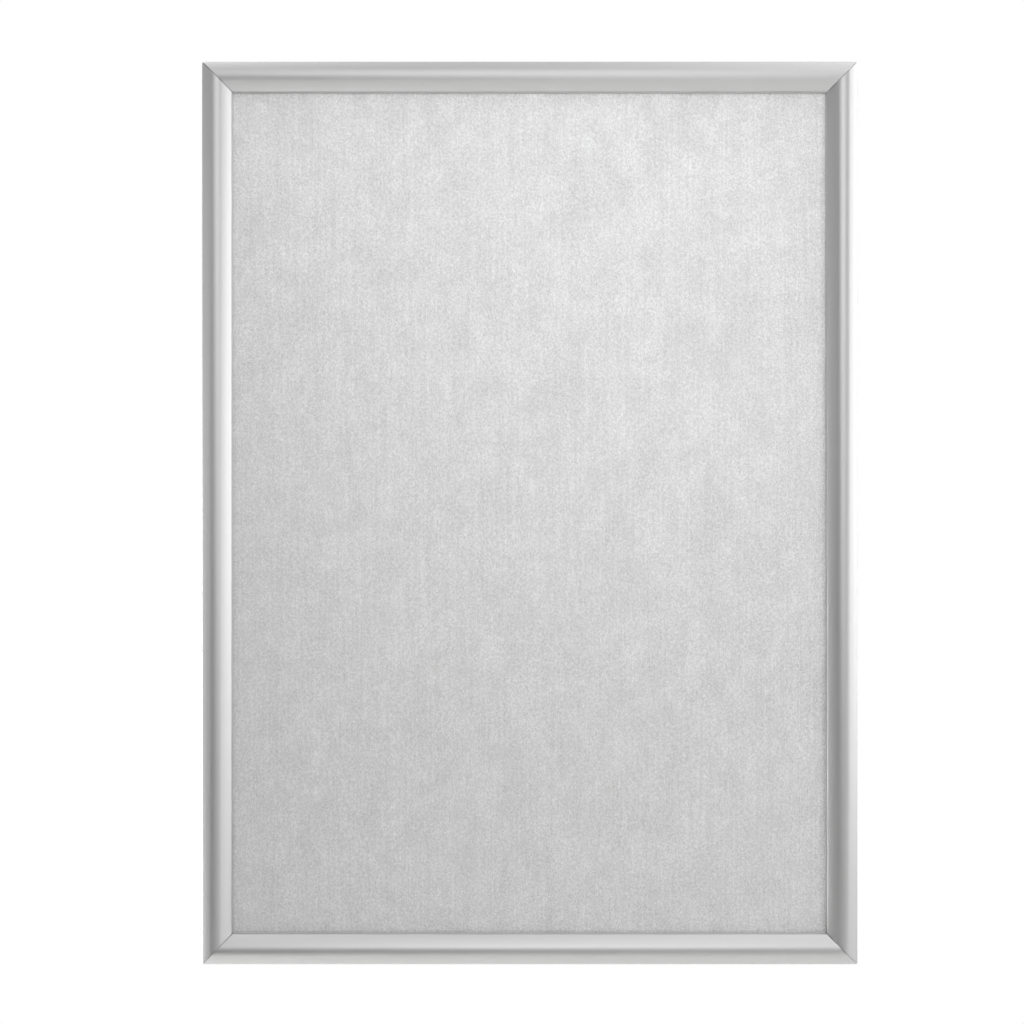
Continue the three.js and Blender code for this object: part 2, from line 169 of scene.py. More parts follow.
def shrink(points: Array, depths: Array) -> Array:
    """Moves an anticlockwise outline inward by several depths at once.

    Formula: each point moves along the mean of the normals of its two sides, by the depth over the
    cosine of half the turn there, so that each side stays parallel to itself.

    Args:
        points: The outline, N rows.
        depths: K depths.

    Returns:
        K outlines, as an array of K by N by 2.
    """
    side = np.roll(points, -1, axis=0) - points
    side /= np.linalg.norm(side, axis=1)[:, None]
    normal = np.stack([-side[:, 1], side[:, 0]], axis=1)
    mean = normal + np.roll(normal, 1, axis=0)
    mean /= np.maximum(np.sum(mean * normal, axis=1), SOFT_SHARE)[:, None]
    return points[None] + depths[:, None, None] * mean[None]


def round_the_ends(radius: float) -> tuple[Array, Array, Array]:
    """Gives the stations of a piece whose two ends are broken by a quarter round.

    Formula: at the angle a from the side, the depth under the side is the radius times one minus
    the cosine of a, and the distance short of the end is the radius times one minus the sine of a.

    Args:
        radius: Radius of the round.

    Returns:
        The depth of each station's outline under the full one, the end that it belongs to as -1 or
        1, and its distance short of that end.
    """
    angle = np.radians(np.linspace(0, UPRIGHT, EDGE_STEPS + 1))
    depth, short = radius * (1 - np.cos(angle)), radius * (1 - np.sin(angle))
    ends = np.repeat([-1.0, 1.0], len(depth))
    return np.concatenate([depth[::-1], depth]), ends, np.concatenate([short[::-1], short])


class Spot(Enum):
    """A place in the frame, with a word that the names of its pieces hold."""

    @property
    def word(self) -> str:
        """That word."""
        return self.value[0]


class Side(Spot):
    """The four rails of the frame, with the direction from each towards the poster."""

    TOP = ("top", (0, 0, -1))
    BOTTOM = ("bottom", (0, 0, 1))
    LEFT = ("left", (1, 0, 0))
    RIGHT = ("right", (-1, 0, 0))

    @property
    def inward(self) -> Array:
        """The unit vector from this rail towards the poster."""
        return np.array(self.value[1], float)

    @property
    def is_upright(self) -> bool:
        """True for the two long rails at the sides."""
        return self in (Side.LEFT, Side.RIGHT)


class Corner(Spot):
    """The four corners, with the directions of their two rails in the order that faces forward."""

    TOP_LEFT = ("top_left", (0, 0, -1), (1, 0, 0))
    TOP_RIGHT = ("top_right", (-1, 0, 0), (0, 0, -1))
    BOTTOM_RIGHT = ("bottom_right", (0, 0, 1), (-1, 0, 0))
    BOTTOM_LEFT = ("bottom_left", (1, 0, 0), (0, 0, 1))


FORWARD = np.array([0.0, -1.0, 0.0])


@dataclass(frozen=True)
class Place:
    """Three axes and an origin in the frame, for points that are given in a piece's own axes."""

    origin: Array
    first: Array
    second: Array

    @property
    def third(self) -> Array:
        """The third axis, by the right-hand rule."""
        return np.cross(self.first, self.second)

    def metres(self, points: Array) -> Array:
        """Turns the piece's own millimetres into metres: the origin plus each of them times its axis."""
        return (self.origin + points @ np.stack([self.first, self.second, self.third])) * MILLIMETRE


@dataclass(frozen=True)
class Layers:
    """Heights from the wall of what lies on the web of the base rails, and the outer size."""

    poster_width: float = 500.0
    poster_height: float = 700.0
    poster_inset: float = 15.0
    rail_face: float = 25.0
    rail_depth: float = 12.0
    clearance: float = 0.3
    web: float = 1.2
    panel: float = 0.6
    sheet: float = 0.5
    key: float = 1.4
    lip_wall: float = 0.6
    spring_seat: float = 1.2

    @property
    def frame_width(self) -> float:
        """Outer width of the frame."""
        return self.poster_width + 2 * self.poster_inset

    @property
    def frame_height(self) -> float:
        """Outer height of the frame."""
        return self.poster_height + 2 * self.poster_inset

    @property
    def on_web(self) -> float:
        """Back of what lies on the web: the panel and the corner keys."""
        return self.web + self.clearance

    @property
    def sheet_back(self) -> float:
        """Back of the clear sheet."""
        return self.on_web + self.panel + self.clearance

    @property
    def cover_lip(self) -> float:
        """The lip of a shut cover, just in front of the clear sheet."""
        return self.sheet_back + self.sheet + self.clearance

    @property
    def hook_under(self) -> float:
        """Underside of the hooks that hold the corner keys down."""
        return self.on_web + self.key + self.clearance

    @property
    def hook_top(self) -> float:
        """Top of those hooks, where the spring seat starts."""
        return self.hook_under + self.lip_wall

    @property
    def seat_top(self) -> float:
        """Top of the spring seat."""
        return self.hook_top + self.spring_seat

    @property
    def rib_top(self) -> float:
        """Top of the inner rib."""
        return self.seat_top + self.lip_wall

    def rail_length(self, side: Side) -> float:
        """Outer length of one rail."""
        return self.frame_height if side.is_upright else self.frame_width

    def rail_place(self, side: Side) -> Place:
        """The axes of one rail, from the middle of its outer edge on the wall."""
        across = self.frame_width if side.is_upright else self.frame_height
        return Place(-side.inward * across / 2, side.inward, FORWARD)

    def corner_place(self, corner: Corner) -> Place:
        """Finds the axes of one corner, from the frame's outer corner on the wall.

        Args:
            corner: The corner.

        Returns:
            Its axes, the first two along its two rails.
        """
        first, second = (np.array(axis, float) for axis in corner.value[1:])
        half = np.array([self.frame_width, 0, self.frame_height]) / 2
        return Place(-(first + second) * half, first, second)


@dataclass(frozen=True)
class Hinge:
    """The bead of a base rail and the claw and front of the cover that turns on it.

    The front is a run of arcs that touch one another: the rolled edge round the pivot, the outer
    flank, the crest, the inner flank and the nose. The flanks are nearly flat.
    """

    layers: Layers
    pivot_height: float = 6.45
    crest_radius: float = 13.0
    crest_inward: float = 10.25  # outer edge of the frame to the crest
    flank_radius: float = 50.0
    nose_radius: float = 1.2  # the rounded inner edge
    nose_back: float = 1.0  # the nose stands back from the edge of the lip
    nose_lift: float = 1.3  # the nose is rounded from this much in front of the lip's own round
    skin: float = 1.3
    bead_radius: float = 1.5
    claw_wall: float = 1.2
    claw_tip: float = 130.0  # angle round the pivot from straight inward, where the claw begins
    claw_foot: float = -62.0  # where the claw ends and its leg stands out
    leg_wall: float = 1.1
    leg_slot_out: float = 3.8  # pivot to the middle of the slot in the leg
    leg_slot: float = 1.0
    leg_slot_depth: float = 0.6
    leg_end_wall: float = 0.4

    @property
    def claw_bore(self) -> float:
        """Inner radius of the claw."""
        return self.bead_radius + self.layers.clearance

    @property
    def claw_outer(self) -> float:
        """Outer radius of the claw."""
        return self.claw_bore + self.claw_wall

    @property
    def pivot(self) -> Array:
        """The axis that the cover turns on. The claw's widest point is the frame's outer edge."""
        inward = -self.claw_outer * math.cos(math.radians(self.claw_tip))
        return np.array([inward, self.pivot_height])

    @property
    def crest_centre(self) -> Array:
        """Centre of the arc of the crest."""
        return np.array([self.crest_inward, self.layers.rail_depth - self.crest_radius])

    @property
    def lip_radius(self) -> float:
        """Radius of the lip that presses on the clear sheet."""
        return self.skin / 2

    @property
    def lip_centre(self) -> Array:
        """Centre of the round of the lip."""
        inward = self.layers.rail_face - self.lip_radius
        return np.array([inward, self.layers.cover_lip + self.lip_radius])

    @property
    def nose_centre(self) -> Array:
        """Centre of the nose."""
        inward = self.layers.rail_face - self.nose_back - self.nose_radius
        return np.array([inward, self.lip_centre[1] + self.nose_lift])

    @property
    def outer_flank_centre(self) -> Array:
        """Centre of the arc between the rolled edge and the crest."""
        return self.flank_centre(self.pivot, self.claw_outer)

    @property
    def inner_flank_centre(self) -> Array:
        """Centre of the arc between the crest and the nose."""
        return self.flank_centre(self.nose_centre, self.nose_radius)

    def flank_centre(self, other: Array, other_radius: float) -> Array:
        """Finds the centre of the flank that touches the crest and another round from outside.

        Formula: the centre is a known distance from the two others, so the three form a triangle,
        and the law of cosines gives its angle at the crest.

        Args:
            other: Centre of the other round.
            other_radius: Its radius.

        Returns:
            The centre, behind them both.
        """
        to_crest = self.flank_radius - self.crest_radius
        to_other = self.flank_radius - other_radius
        span = float(np.linalg.norm(other - self.crest_centre))
        cosine = (to_crest**2 + span**2 - to_other**2) / (2 * to_crest * span)
        side = -1 if other[0] > self.crest_centre[0] else 1
        turn = bearing(self.crest_centre, other) + side * math.degrees(math.acos(cosine))
        return polar(self.crest_centre, to_crest, turn)

    @property
    def leg_reach(self) -> float:
        """Pivot to the end of the leg."""
        return self.leg_slot_out + self.leg_slot / 2 + self.leg_end_wall

    @property
    def leg_sweep(self) -> float:
        """Radius that the leg's far corner sweeps round the pivot."""
        return math.hypot(self.leg_reach, self.leg_wall)

    def leg_point(self, out: float, across: float) -> Array:
        """A point of the leg: out from the pivot along it, and across it towards the poster."""
        return polar(polar(self.pivot, out, self.claw_foot), across, self.claw_foot + UPRIGHT)


def srgb(code: str) -> tuple[float, float, float, float]:
    """Turns an sRGB hex colour into the linear one that a shader takes.

    Formula: a channel c of 0 to 1 is c over 12.92 up to 0.04045, and above it the 2.4th power of
    c plus 0.055 over 1.055.

    Args:
        code: Six hex digits.

    Returns:
        Linear red, green and blue, and 1 for alpha.
    """
    channel = np.array([int(code[i : i + 2], 16) for i in (0, 2, 4)]) / 255
    linear = np.where(channel <= 0.04045, channel / 12.92, ((channel + 0.055) / 1.055) ** 2.4)
    return (*linear.tolist(), 1.0)


def add_node(
    tree: bpy.types.NodeTree,
    kind: str,
    inputs: dict[str | int, object] | None = None,
    **settings: object,
) -> bpy.types.Node:
    """Adds a node with its settings and links.

    Args:
        tree: The node tree that it joins.
        kind: Name of the node type, after ShaderNode.
        inputs: Values and sockets by input name or number. A socket is linked.
        **settings: Properties of the node.

    Returns:
        The node.
    """
    node = tree.nodes.new("ShaderNode" + kind)
    for name, value in settings.items():
        setattr(node, name, value)
    for key, value in (inputs or {}).items():
        if isinstance(value, bpy.types.NodeSocket):
            tree.links.new(value, node.inputs[key])
        else:
            node.inputs[key].default_value = value
    return node


def cells(size: Sequence[float]) -> tuple[float, ...]:
    """Turns the millimetres that one cell of a pattern spans on each axis into cells a metre."""
    return tuple(1 / (length * MILLIMETRE) for length in size)


class Finish:
    """The way a surface was made. Each finish makes its material once and gives the same one after."""

    name: str

    def material(self) -> bpy.types.Material:
        """Makes the material of this finish, or finds it where it is made already.

        Returns:
            The material.
        """
        made = bpy.data.materials.get(self.name)
        if made is None:
            made = bpy.data.materials.new(self.name)
            made.use_nodes = True
            made.node_tree.nodes.clear()
            add_node(made.node_tree, "OutputMaterial", {"Surface": self.shader(made.node_tree)})
        return made

    def shader(self, tree: bpy.types.NodeTree) -> bpy.types.NodeSocket:
        """Adds the nodes of this finish and gives the shader that they end in."""
        raise NotImplementedError


class PatternedFinish(Finish):
    """A finish whose roughness and relief follow patterns of its own."""

    metallic: float
    roughness: tuple[float, float]  # where the pattern that it follows is low, and where it is high

    def pattern(
        self,
        tree: bpy.types.NodeTree,
        place: bpy.types.NodeSocket,
        size: Sequence[float],
        looks: dict[str, float],
        lean: float = 0.0,
    ) -> bpy.types.NodeSocket:
        """Draws a noise out along the axes of its coordinates.

        Args:
            tree: The node tree.
            place: The coordinates, in metres.
            size: Millimetres that one cell of the noise spans on each axis.
            looks: The noise's other inputs.
            lean: Degrees that the pattern turns about the second axis.

        Returns:
            The noise, from 0 to 1.
        """
        stretch = {"Vector": place, "Rotation": (0.0, math.radians(lean), 0.0), "Scale": cells(size)}
        stretched = add_node(tree, "Mapping", stretch).outputs["Vector"]
        return add_node(tree, "TexNoise", {"Vector": stretched, "Scale": 1.0} | looks).outputs["Fac"]

    def surface(
        self,
        tree: bpy.types.NodeTree,
        colour: bpy.types.NodeSocket | tuple[float, ...],
        worn: bpy.types.NodeSocket,
        span: tuple[float, float],
        raised: bpy.types.NodeSocket,
        height: float,
        more: dict[str, float] | None = None,
    ) -> bpy.types.NodeSocket:
        """Ends the finish in its shader, with a roughness and a bump that follow patterns.

        Args:
            tree: The node tree.
            colour: The base colour.
            worn: The pattern that the roughness follows.
            span: Values of that pattern where the roughness is at its two ends.
            raised: The pattern that stands out of the surface.
            height: How far it stands out, in millimetres.
            more: Other inputs of the shader.

        Returns:
            The shader.
        """
        spread = dict(zip(("From Min", "From Max", "To Min", "To Max"), (*span, *self.roughness)))
        rough = add_node(tree, "MapRange", {"Value": worn} | spread).outputs["Result"]
        relief = {"Height": raised, "Strength": 1.0, "Distance": height * MILLIMETRE}
        bump = add_node(tree, "Bump", relief).outputs["Normal"]
        inputs = {"Base Color": colour, "Metallic": self.metallic, "Roughness": rough, "Normal": bump}
        return add_node(tree, "BsdfPrincipled", inputs | (more or {})).outputs["BSDF"]


@dataclass(frozen=True)
class ExtrudedMetal(PatternedFinish):
    """An aluminium extrusion, with die lines that run along the rail.

    Its pattern follows the UV map of a rail, which is in metres along and round the section. Real
    die lines are finer than these, which are as coarse as a close view needs to show them.
    """

    name: str
    pale: str
    dark: str
    roughness: tuple[float, float]
    line_width: float  # spacing of the die lines
    line_height: float
    streak_width: float  # spacing of the broad, faint bands
    line_length: float = 260.0
    line_span: tuple[float, float] = (0.25, 0.75)  # most values of the lines lie between these
    metallic: float = 1.0

    def shader(self, tree: bpy.types.NodeTree) -> bpy.types.NodeSocket:
        """Adds fine lines for bump and roughness, and broad bands for colour.

        Args:
            tree: The node tree.

        Returns:
            The shader.
        """
        uv = add_node(tree, "UVMap", uv_map=UV_NAME).outputs["UV"]
        fine = (self.line_length, self.line_width, 1)
        broad = (2 * self.line_length, self.streak_width, 1)
        lines = self.pattern(tree, uv, fine, {"Detail": 2.0, "Roughness": 0.6})
        bands = self.pattern(tree, uv, broad, {"Detail": 3.0, "Roughness": 0.5})
        tones = {"Factor": bands, "A": srgb(self.dark), "B": srgb(self.pale)}
        colour = add_node(tree, "Mix", tones, data_type="RGBA").outputs["Result"]
        return self.surface(tree, colour, lines, self.line_span, lines, self.line_height)


# Covers: 6063 aluminium, etched matt and clear anodised. Silvery, even, with a soft wide gloss.
SATIN_ANODISED = ExtrudedMetal(
    name="satin_anodised_aluminium",
    pale="C5C5C5",
    dark="BEBEBE",
    roughness=(0.38, 0.44),
    line_width=0.35,
    line_height=0.0012,
    streak_width=6.0,
)

# Base rails: the same alloy as it leaves the die. Greyer, with plain die lines.
MILL_FINISH = ExtrudedMetal(
    name="mill_finish_aluminium",
    pale="C4C6C8",
    dark="AEB1B4",
    roughness=(0.30, 0.48),
    line_width=0.6,
    line_height=0.006,
    streak_width=2.2,
)

# Cut ends of the rails: sawn at 45 degrees after anodising, so bright, with fine saw marks.
SAWN_ALUMINIUM = ExtrudedMetal(
    name="sawn_aluminium",
    pale="DDDEE0",
    dark="C6C8CA",
    roughness=(0.22, 0.38),
    line_width=0.25,
    line_height=0.004,
    streak_width=1.5,
    line_length=30.0,
)


@dataclass(frozen=True)
class GalvanisedSheet(PatternedFinish):
    """Hot-dip galvanised sheet steel, skin-passed and phosphated, behind the poster.

    The phosphate leaves it a pale, matt grey. Fine, short upright grains stand out in it from
    the rolls, over soft spangle that shows as faint clouds.
    """

    name: str = "galvanised_sheet_steel"
    pale: str = "EAEAEA"
    dark: str = "DEDEDE"
    metallic: float = 0.5  # the phosphate hides half of the metal's own gloss
    roughness: tuple[float, float] = (0.44, 0.38)
    grain: tuple[float, float, float] = (0.75, 4.0, 1.1)  # one grain, right, back and up
    streak: tuple[float, float, float] = (1.1, 4.0, 60.0)  # one of the long marks of the rolls
    streak_share: float = 0.18
    grain_pale: str = "FFFFFF"
    grain_dark: str = "9C9C9C"
    grain_share: float = 0.6  # how strongly the grains tint the grey
    grain_height: float = 0.004
    spangle: float = 11.0
    spangle_share: float = 0.3
    cloud: tuple[float, float, float] = (26.0, 40.0, 44.0)
    cloud_turn: float = 24.0  # the clouds lean this many degrees off upright

    def shader(self, tree: bpy.types.NodeTree) -> bpy.types.NodeSocket:
        """Adds grain, spangle and clouds on Object coordinates, for colour, roughness and bump.

        Args:
            tree: The node tree.

        Returns:
            The shader.
        """
        place = add_node(tree, "TexCoord").outputs["Object"]
        plain, soft = {"Detail": 1.0}, {"Detail": 2.0, "Roughness": 0.45, "Distortion": 0.6}
        short = self.pattern(tree, place, self.grain, plain)
        long = self.pattern(tree, place, self.streak, plain)
        clouds = self.pattern(tree, place, self.cloud, soft, self.cloud_turn)
        both = {"Factor": self.streak_share, "A": short, "B": long}
        grain = add_node(tree, "Mix", both, data_type="FLOAT").outputs["Result"]

        scale = 1 / (self.spangle * MILLIMETRE)
        wander = add_node(tree, "TexNoise", {"Vector": place, "Scale": scale, "Detail": 2.0})
        aside = {"Factor": self.spangle * MILLIMETRE, "A": place, "B": wander.outputs["Color"]}
        bent = add_node(tree, "Mix", aside, data_type="VECTOR").outputs["Result"]
        crystals = add_node(tree, "TexVoronoi", {"Vector": bent, "Scale": scale}, feature="SMOOTH_F1")
        crystal = add_node(tree, "SeparateColor", {"Color": crystals.outputs["Color"]}).outputs["Red"]
        cover = {"Factor": self.spangle_share, "A": clouds, "B": crystal}
        patch = add_node(tree, "Mix", cover, data_type="FLOAT").outputs["Result"]

        span = {"From Min": NOISE_SPAN[0], "From Max": NOISE_SPAN[1]}
        patch_share = add_node(tree, "MapRange", {"Value": patch} | span).outputs["Result"]
        grain_share = add_node(tree, "MapRange", {"Value": grain} | span).outputs["Result"]
        tones = {"Factor": patch_share, "A": srgb(self.dark), "B": srgb(self.pale)}
        grey = add_node(tree, "Mix", tones, data_type="RGBA").outputs["Result"]
        tints = {"Factor": grain_share, "A": srgb(self.grain_dark), "B": srgb(self.grain_pale)}
        fleck = add_node(tree, "Mix", tints, data_type="RGBA").outputs["Result"]
        tinted = {"Factor": self.grain_share, "A": grey, "B": fleck}
        mixed = add_node(tree, "Mix", tinted, data_type="RGBA", blend_type="MULTIPLY")
        return self.surface(tree, mixed.outputs["Result"], patch, NOISE_SPAN, grain, self.grain_height)


@dataclass(frozen=True)
class AntiGlarePlastic(PatternedFinish):
    """Clear PET sheet with an anti-glare face.

    It is see-through, with a thin white haze and a wide, weak gloss where glass would mirror. The
    grain of a real face is far finer than this one, which is as coarse as a close view needs.
    """

    name: str = "clear_anti_glare_plastic"
    tint: str = "F4F5F5"
    metallic: float = 0.0
    roughness: tuple[float, float] = (0.30, 0.38)
    solid_share: float = 0.08  # how much of the surface's own light is seen over what lies behind
    refraction: float = 1.57
    gloss: float = 1.0
    fleck: float = 0.6  # grain of the anti-glare face
    fleck_height: float = 0.002

    def shader(self, tree: bpy.types.NodeTree) -> bpy.types.NodeSocket:
        """Adds a faint grain on Object coordinates, for roughness and bump.

        Args:
            tree: The node tree.

        Returns:
            The shader.
        """
        place = add_node(tree, "TexCoord").outputs["Object"]
        finely = {"Vector": place, "Scale": 1 / (self.fleck * MILLIMETRE), "Detail": 2.0}
        grain = add_node(tree, "TexNoise", finely).outputs["Fac"]
        clear = {"IOR": self.refraction, "Specular IOR Level": self.gloss, "Alpha": self.solid_share}
        return self.surface(tree, srgb(self.tint), grain, FULL_SPAN, grain, self.fleck_height, clear)


@dataclass(frozen=True)
class PlatedSteel(PatternedFinish):
    """Small steel parts: their colour and gloss vary in soft flecks, over the marks of their making."""

    name: str
    pale: str
    dark: str
    roughness: tuple[float, float]
    metallic: float
    fleck: tuple[float, float, float]
    mark_height: float

    def shader(self, tree: bpy.types.NodeTree) -> bpy.types.NodeSocket:
        """Adds flecks on Object coordinates, for colour, roughness and bump.

        Args:
            tree: The node tree.

        Returns:
            The shader.
        """
        place = add_node(tree, "TexCoord").outputs["Object"]
        flecks = self.pattern(tree, place, self.fleck, {"Detail": 3.0, "Roughness": 0.6})
        span = {"From Min": NOISE_SPAN[0], "From Max": NOISE_SPAN[1]}
        share = add_node(tree, "MapRange", {"Value": flecks} | span).outputs["Result"]
        tones = {"Factor": share, "A": srgb(self.dark), "B": srgb(self.pale)}
        colour = add_node(tree, "Mix", tones, data_type="RGBA").outputs["Result"]
        return self.surface(tree, colour, share, FULL_SPAN, flecks, self.mark_height)


# Corner keys: punched steel, bright zinc plated. A cool silver with a slight cloudy gloss.
BRIGHT_ZINC = PlatedSteel(
    name="bright_zinc_plate",
    pale="C9CDD2",
    dark="A9AEB5",
    roughness=(0.42, 0.26),
    metallic=1.0,
    fleck=(1.6, 1.6, 1.6),
    mark_height=0.004,
)

# Grub screws: alloy steel with black oxide. Near black, dry and slightly speckled.
BLACK_OXIDE = PlatedSteel(
    name="black_oxide_steel",
    pale="3A3B3D",
    dark="232426",
    roughness=(0.55, 0.38),
    metallic=0.7,
    fleck=(0.3, 0.3, 0.3),
    mark_height=0.003,
)

# Leaf springs: hardened and tempered strip. Bluish grey, polished along its length.
SPRING_STRIP = PlatedSteel(
    name="tempered_spring_steel",
    pale="A4A8AD",
    dark="84888E",
    roughness=(0.34, 0.22),
    metallic=1.0,
    fleck=(0.5, 0.5, 0.5),
    mark_height=0.002,
)


@dataclass(frozen=True)
class StudioPaper(Finish):
    """Matt studio paper for the floor: pale, even and without gloss."""

    name: str = "matt_studio_paper"
    pale: str = "F2F2F1"
    dark: str = "ECECEB"
    dull: float = 0.9
    fibre: float = 30.0

    def shader(self, tree: bpy.types.NodeTree) -> bpy.types.NodeSocket:
        """Adds a faint mottle on Object coordinates.

        Args:
            tree: The node tree.

        Returns:
            The shader.
        """
        place = add_node(tree, "TexCoord").outputs["Object"]
        broadly = {"Vector": place, "Scale": 1 / (self.fibre * MILLIMETRE), "Detail": 2.0}
        mottle = add_node(tree, "TexNoise", broadly).outputs["Fac"]
        tones = {"Factor": mottle, "A": srgb(self.dark), "B": srgb(self.pale)}
        colour = add_node(tree, "Mix", tones, data_type="RGBA").outputs["Result"]
        paper = {"Base Color": colour, "Roughness": self.dull}
        return add_node(tree, "BsdfPrincipled", paper).outputs["BSDF"]


def finish_mesh(mesh: bpy.types.Mesh) -> None:
    """Shades a mesh smooth, with creases where two faces meet at more than CORNER_TURN degrees.

    Args:
        mesh: The mesh.
    """
    mesh.validate()
    mesh.shade_smooth()
    mesh.set_sharp_from_angle(angle=math.radians(CORNER_TURN))


def new_piece(name: str, mesh: bpy.types.Mesh) -> bpy.types.Object:
    """Puts a mesh into the scene as an object at the origin.

    Args:
        name: Name of the object.
        mesh: Its mesh.

    Returns:
        The object.
    """
    piece = bpy.data.objects.new(name, mesh)
    bpy.context.scene.collection.objects.link(piece)
    return piece


def loft(name: str, rings: Array, place: Place) -> bpy.types.Object:
    """Makes a closed solid from a stack of rings with as many points each.

    The rings run anticlockwise seen from the end of the third axis, and climb along it. The surface
    is a function of two parameters, the station along the stack and the place round the ring, with
    a flat face on each end. The UV map holds the height of a point above the middle and its distance
    round the ring, in metres, and on the end faces the two coordinates of the ring.

    Args:
        name: Name of the object.
        rings: Points in the piece's own millimetres, K stations by N points by 3.
        place: The piece's own axes.

    Returns:
        The object. Its end faces have material index 1.
    """
    stations, count = rings.shape[:2]
    ring = np.arange(count)
    after = np.roll(ring, -1)
    low = (np.arange(stations - 1) * count)[:, None]
    quads = np.stack([low + ring, low + after, low + count + after, low + count + ring], axis=-1)
    ends = [ring[::-1].tolist(), (ring + (stations - 1) * count).tolist()]
    mesh = bpy.data.meshes.new(name)
    faces = quads.reshape(-1, 4).tolist() + ends
    mesh.from_pydata(place.metres(rings).reshape(-1, 3).tolist(), [], faces)

    middle = rings[stations // 2]
    side = np.linalg.norm(np.roll(middle, -1, axis=0) - middle, axis=1)
    around = np.concatenate([[0.0], np.cumsum(side)])
    u = rings[..., 2]
    u_next = np.roll(u, -1, axis=1)
    low_v = np.broadcast_to(around[:-1], (stations - 1, count))
    high_v = np.broadcast_to(around[1:], (stations - 1, count))
    corners = [(u[:-1], low_v), (u_next[:-1], high_v), (u_next[1:], high_v), (u[1:], low_v)]
    side_uv = np.stack([np.stack(pair, axis=-1) for pair in corners], axis=2).reshape(-1, 2)
    uv = np.concatenate([side_uv, rings[0, ::-1, :2], rings[-1, :, :2]]) * MILLIMETRE
    mesh.uv_layers.new(name=UV_NAME).uv.foreach_set("vector", uv.astype(np.float32).ravel())
    index = np.zeros(len(mesh.polygons), np.int32)
    index[-2:] = 1
    mesh.polygons.foreach_set("material_index", index)
    finish_mesh(mesh)
    return new_piece(name, mesh)


def lift_rings(flat: Array, height: Array) -> Array:
    """Gives rings of flat points their third coordinate, one for each ring or each point."""
    return np.concatenate([flat, np.broadcast_to(height, flat.shape[:2])[..., None]], axis=-1)


def level_rings(outline: Array, depth: Array, height: Array) -> Array:
    """Stacks copies of an anticlockwise outline, each shrunk by its depth and lifted to its height."""
    return lift_rings(shrink(outline, depth), height[:, None])


def mitred_rings(outline: Array, length: float, gap: float, edge: float) -> Array:
    """Carries the section of a rail along it, between two ends cut to the mitre.

    Formula: a point of the section that lies a distance inward ends that much sooner, at half the
    length minus the distance and the gap. Each end has a small round in a few stations.

    Args:
        outline: The section, with inward and forward coordinates.
        length: Outer length of the rail.
        gap: How far each end stops short of the true mitre.
        edge: Radius of the round on the cut edge.

    Returns:
        K by N by 3 points.
    """
    depth, end, short = round_the_ends(edge)
    flat = shrink(anticlockwise(outline), depth)
    reach = length / 2 - gap - flat[..., 0] - short[:, None]
    return lift_rings(flat, end[:, None] * reach)


def carve(piece: bpy.types.Object, cutters: Sequence[bpy.types.Object]) -> None:
    """Cuts solids out of a piece and removes them from the scene.

    Args:
        piece: The object that is cut. Its mesh is replaced by the result.
        cutters: Closed solids.
    """
    for cutter in cutters:
        cut = piece.modifiers.new(cutter.name, "BOOLEAN")
        cut.object = cutter
        cut.operation = "DIFFERENCE"
        cut.solver = "MANIFOLD"
    depsgraph = bpy.context.evaluated_depsgraph_get()
    mesh = bpy.data.meshes.new_from_object(piece.evaluated_get(depsgraph), depsgraph=depsgraph)
    piece.modifiers.clear()
    piece.data = mesh
    for cutter in cutters:
        bpy.data.objects.remove(cutter)
    finish_mesh(mesh)


def dress(
    piece: bpy.types.Object,
    finishes: Sequence[Finish],
    body: str | None,
    node: str,
) -> None:
    """Gives a piece its finishes, its body and the CAD node that it stands for.

    Args:
        piece: The object, in place.
        finishes: One finish for each material index.
        body: The body that it rides on, or None to leave it on no body.
        node: Name of the CAD node.
    """
    piece.data.materials.clear()
    for finish in finishes:
        piece.data.materials.append(finish.material())
    weigh = piece.modifiers.new("weigh_normals", "WEIGHTED_NORMAL")
    weigh.mode = "FACE_AREA"
    weigh.keep_sharp = True
    if body is not None:
        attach(piece, body)
    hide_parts(node)
    log.info("%s stands for %s, %d faces", piece.name, node, len(piece.data.polygons))


@dataclass(frozen=True)
class Rails:
    """Four rails of one section, cut to the mitre, with a place cut out near both ends of each."""

    layers: Layers
    hinge: Hinge
    mitre_gap: float = 0.0  # how far each end stops short of the true mitre
    cut_edge: float = 0.05  # radius of the deburred edge of the saw cut
    soft_edge: float = 0.2

    def section(self) -> Array:
        """The outline of a rail, with inward and forward coordinates."""
        raise NotImplementedError

    def cutter(self, place: Place, length: float, end: int) -> bpy.types.Object:
        """The solid that is cut out near the end, -1 or 1, of a rail with these axes and this length."""
        raise NotImplementedError

    def rail(self, name: str, side: Side) -> bpy.types.Object:
        """Makes one rail: its section carried along it, less the two cutters.

        Args:
            name: Name of the object, before the word of its side.
            side: Where the rail lies.

        Returns:
            The rail.
        """
        length, place = self.layers.rail_length(side), self.layers.rail_place(side)
        rings = mitred_rings(self.section(), length, self.mitre_gap, self.cut_edge)
        rail = loft(f"{name}_{side.word}", rings, place)
        carve(rail, [self.cutter(place, length, end) for end in (-1, 1)])
        return rail


